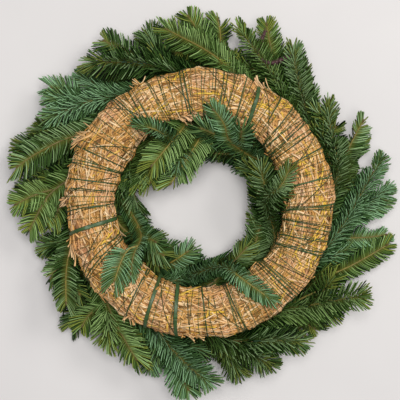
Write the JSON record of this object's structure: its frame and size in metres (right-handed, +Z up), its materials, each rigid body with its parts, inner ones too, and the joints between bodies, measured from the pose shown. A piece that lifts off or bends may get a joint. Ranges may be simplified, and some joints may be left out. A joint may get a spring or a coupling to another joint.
{
  "type": "fresh evergreen wreath",
  "caption": "Fresh fir wreath: sprigs tied with green twine round a straw base ring, all swept one way, lying face down with the straw back up.",
  "frame": {"origin": "on the table, under the middle of the wreath's outline", "axes": "+Z up out of the straw back, +Y towards the top of the picture, +X to its right"},
  "size_m": [0.4378, 0.4436, 0.1069],
  "materials": {
    "straw": "dry straw, matt with a slight sheen along the stalks",
    "twine": "thin green film, satin",
    "fir": "fresh needles, waxy and semi-gloss, on olive twigs"
  },
  "bodies": {
    "root": {"binding_twine": "twine", "front_sprig_01": "fir", "front_sprig_02": "fir", "front_sprig_03": "fir", "front_sprig_04": "fir", "front_sprig_05": "fir", "front_sprig_06": "fir", "front_sprig_07": "fir", "front_sprig_08": "fir", "front_sprig_09": "fir", "front_sprig_10": "fir", "front_sprig_11": "fir", "front_sprig_12": "fir", "front_sprig_13": "fir", "front_sprig_14": "fir", "inner_sprig_01": "fir", "inner_sprig_02": "fir", "inner_sprig_03": "fir", "inner_sprig_04": "fir", "inner_sprig_05": "fir", "inner_sprig_06": "fir", "inner_sprig_07": "fir", "inner_sprig_08": "fir", "inner_sprig_09": "fir", "inner_sprig_10": "fir", "inner_sprig_11": "fir", "inner_sprig_12": "fir", "inner_sprig_13": "fir", "inner_sprig_14": "fir", "outer_sprig_01": "fir", "outer_sprig_02": "fir", "outer_sprig_03": "fir", "outer_sprig_04": "fir", "outer_sprig_05": "fir", "outer_sprig_06": "fir", "outer_sprig_07": "fir", "outer_sprig_08": "fir", "outer_sprig_09": "fir", "outer_sprig_10": "fir", "outer_sprig_11": "fir", "outer_sprig_12": "fir", "outer_sprig_13": "fir", "outer_sprig_14": "fir", "straw_ring": "straw", "straw_thread": "twine", "twine_band_1": "twine", "twine_band_2": "twine", "twine_band_3": "twine", "twine_band_4": "twine"}
  },
  "joints": []
}
